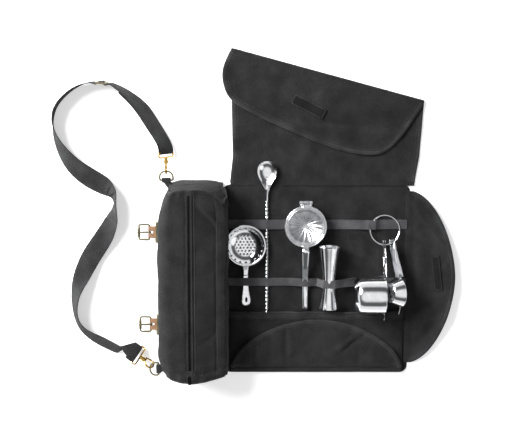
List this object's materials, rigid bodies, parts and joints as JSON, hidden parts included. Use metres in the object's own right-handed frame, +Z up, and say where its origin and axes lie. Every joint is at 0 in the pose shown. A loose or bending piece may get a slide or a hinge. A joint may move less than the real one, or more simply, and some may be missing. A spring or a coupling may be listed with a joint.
{
  "type": "bartender bag",
  "caption": "Black canvas bartender roll bag laid open, with a zipped barrel, shoulder strap, elastic loops and steel bar tools.",
  "frame": {"origin": "centre of the tool panel's underside, on the floor", "axes": "+X from the zipped barrel across the tools to the side flap, +Y up the roll to the long flap, +Z up"},
  "size_m": [0.7504, 0.6095, 0.1086],
  "materials": {
    "canvas": "matte woven canvas, near black",
    "lining": "matte woven lining, near black",
    "elastic": "ribbed elastic, grey",
    "webbing": "woven webbing, near black",
    "patch": "hook and loop pile, black",
    "leather": "smooth tan leather",
    "antique": "antique brass, satin",
    "gold": "light gold plating, polished",
    "blackMetal": "black painted zip metal",
    "steel": "bright stainless steel"
  },
  "bodies": {
    "tool_roll": {"tool_panel": "lining", "tool_pocket": "lining", "upper_elastic": "elastic", "lower_elastic": "elastic", "top_flap_base": "canvas", "closing_strap_upper": "leather", "closing_strap_lower": "leather", "measuring_ring": "steel"},
    "compartment": {"compartment_shell": "canvas", "end_panel_front": "canvas", "end_panel_back": "canvas", "buckle_tab_upper": "leather", "buckle_tab_lower": "leather", "buckle_keeper_upper": "leather", "buckle_keeper_lower": "leather", "ring_tab_upper": "canvas", "ring_tab_lower": "canvas", "swivel_eye_upper": "gold", "swivel_eye_lower": "gold", "shoulder_strap": "webbing", "strap_slider": "antique"},
    "zip_left": {"zip_flap_left": "canvas", "zip_tape_left": "blackMetal"},
    "zip_right": {"zip_flap_right": "canvas", "zip_tape_right": "blackMetal"},
    "slider": {"zip_slider": "blackMetal"},
    "pull": {"zip_pull": "blackMetal"},
    "buckle_upper": {"buckle_frame_upper": "antique"},
    "buckle_lower": {"buckle_frame_lower": "antique"},
    "prong_upper": {"buckle_prong_upper": "antique"},
    "prong_lower": {"buckle_prong_lower": "antique"},
    "ring_upper": {"d_ring_upper": "antique"},
    "ring_lower": {"d_ring_lower": "antique"},
    "hook_upper": {"snap_hook_upper": "gold"},
    "hook_lower": {"snap_hook_lower": "gold"},
    "gate_upper": {"hook_gate_upper": "gold"},
    "gate_lower": {"hook_gate_lower": "gold"},
    "long_flap": {"top_flap": "canvas"},
    "flap_end": {"top_flap_end": "canvas", "hook_patch": "patch"},
    "side_flap": {"right_flap": "canvas", "loop_patch": "patch"},
    "front_flap": {"bottom_flap": "canvas"},
    "strainer": {"julep_strainer": "steel"},
    "spoon": {"bar_spoon": "steel"},
    "press": {"press_lower": "steel", "press_pin": "steel"},
    "press_top": {"press_upper": "steel"},
    "jigger": {"jigger": "steel"},
    "cups": {"measuring_cup_large": "steel", "measuring_cup_medium": "steel"},
    "small_cup": {"measuring_cup_small": "steel"}
  },
  "joints": [
    {"name": "compartment_tilt", "type": "hinge", "parent": "tool_roll", "child": "compartment", "pos_m": [-0.17515, 0, 0], "axis": [0, 1, 0], "range_deg": [-90, 0]},
    {"name": "zip_left_open", "type": "hinge", "parent": "compartment", "child": "zip_left", "pos_m": [-0.29, 0.012, 0.08015], "axis": [0, -1, 0], "range_deg": [0, 70]},
    {"name": "zip_right_open", "type": "hinge", "parent": "compartment", "child": "zip_right", "pos_m": [-0.165, 0.012, 0.08015], "axis": [0, 1, 0], "range_deg": [0, 70]},
    {"name": "zip_slide", "type": "slide", "parent": "compartment", "child": "slider", "axis": [0, 1, 0], "range_m": [0, 0.32]},
    {"name": "zip_pull_swing", "type": "hinge", "parent": "slider", "child": "pull", "pos_m": [-0.233, -0.1602, 0.1059], "axis": [-1, 0, 0], "range_deg": [0, 170]},
    {"name": "buckle_upper_swing", "type": "hinge", "parent": "compartment", "child": "buckle_upper", "pos_m": [-0.3112, 0.092, 0.012], "axis": [0, 1, 0], "range_deg": [0, 70]},
    {"name": "buckle_lower_swing", "type": "hinge", "parent": "compartment", "child": "buckle_lower", "pos_m": [-0.3112, -0.084, 0.012], "axis": [0, 1, 0], "range_deg": [0, 70]},
    {"name": "prong_upper_lift", "type": "hinge", "parent": "buckle_upper", "child": "prong_upper", "pos_m": [-0.3112, 0.092, 0.012], "axis": [0, 1, 0], "range_deg": [0, 50]},
    {"name": "prong_lower_lift", "type": "hinge", "parent": "buckle_lower", "child": "prong_lower", "pos_m": [-0.3112, -0.084, 0.012], "axis": [0, 1, 0], "range_deg": [0, 50]},
    {"name": "ring_upper_swing", "type": "hinge", "parent": "compartment", "child": "ring_upper", "pos_m": [-0.278, 0.1908, 0.024], "axis": [1, 0, 0], "range_deg": [-3, 3]},
    {"name": "ring_lower_swing", "type": "hinge", "parent": "compartment", "child": "ring_lower", "pos_m": [-0.2968, -0.1677, 0.024], "axis": [0, 1, 0], "range_deg": [-2, 3]},
    {"name": "hook_upper_swivel", "type": "hinge", "parent": "compartment", "child": "hook_upper", "pos_m": [-0.278, 0.2278, 0.024], "axis": [0, 1, 0], "range_deg": [-12, 12]},
    {"name": "hook_lower_swivel", "type": "hinge", "parent": "compartment", "child": "hook_lower", "pos_m": [-0.32738, -0.14729, 0.024], "axis": [-0.8, 0.6, 0], "range_deg": [-6, 12]},
    {"name": "gate_upper_open", "type": "hinge", "parent": "hook_upper", "child": "gate_upper", "pos_m": [-0.278, 0.2215, 0.01824], "axis": [-1, 0, 0], "range_deg": [0, 16], "stiffness_Nm_per_rad": 0.002},
    {"name": "gate_lower_open", "type": "hinge", "parent": "hook_lower", "child": "gate_lower", "pos_m": [-0.3199, -0.14781, 0.01993], "axis": [-0.4243, -0.5657, -0.7071], "range_deg": [0, 16], "stiffness_Nm_per_rad": 0.002},
    {"name": "long_flap_fold", "type": "hinge", "parent": "tool_roll", "child": "long_flap", "pos_m": [0.01, 0.23315, 0.00315], "axis": [1, 0, 0], "range_deg": [0, 100]},
    {"name": "flap_end_fold", "type": "hinge", "parent": "long_flap", "child": "flap_end", "pos_m": [0.01915, 0.38, 0.00315], "axis": [0.9654, -0.2607, 0], "range_deg": [-170, 0]},
    {"name": "side_flap_fold", "type": "hinge", "parent": "tool_roll", "child": "side_flap", "pos_m": [0.17515, 0.0037, 0.00515], "axis": [0, -1, 0], "range_deg": [0, 80]},
    {"name": "front_flap_fold", "type": "hinge", "parent": "tool_roll", "child": "front_flap", "pos_m": [0.0015, -0.1735, 0.00909], "axis": [1, 0, 0], "range_deg": [0, 168]},
    {"name": "strainer_slide", "type": "slide", "parent": "tool_roll", "child": "strainer", "axis": [0, -1, 0], "range_m": [-0.055, 0]},
    {"name": "spoon_slide", "type": "slide", "parent": "tool_roll", "child": "spoon", "axis": [0, -1, 0], "range_m": [-0.07, 0], "deforming": ["upper_elastic"]},
    {"name": "press_slide", "type": "slide", "parent": "tool_roll", "child": "press", "axis": [0, -1, 0], "range_m": [-0.06, 0], "deforming": ["lower_elastic"]},
    {"name": "press_open", "type": "hinge", "parent": "press", "child": "press_top", "pos_m": [-0.0206, 0.1495, 0.02995], "axis": [1, 0, 0], "range_deg": [-150, 0]},
    {"name": "jigger_lift", "type": "slide", "parent": "tool_roll", "child": "jigger", "axis": [0, 0, -1], "range_m": [-0.06, 0]},
    {"name": "cups_lift", "type": "hinge", "parent": "tool_roll", "child": "cups", "pos_m": [0.1264, 0.068, 0.01499], "axis": [1, 0, 0], "range_deg": [-60, 0]},
    {"name": "small_cup_lift", "type": "hinge", "parent": "tool_roll", "child": "small_cup", "pos_m": [0.14125, 0.0716, 0.01448], "axis": [1, 0, 0], "range_deg": [-55, 0]}
  ]
}
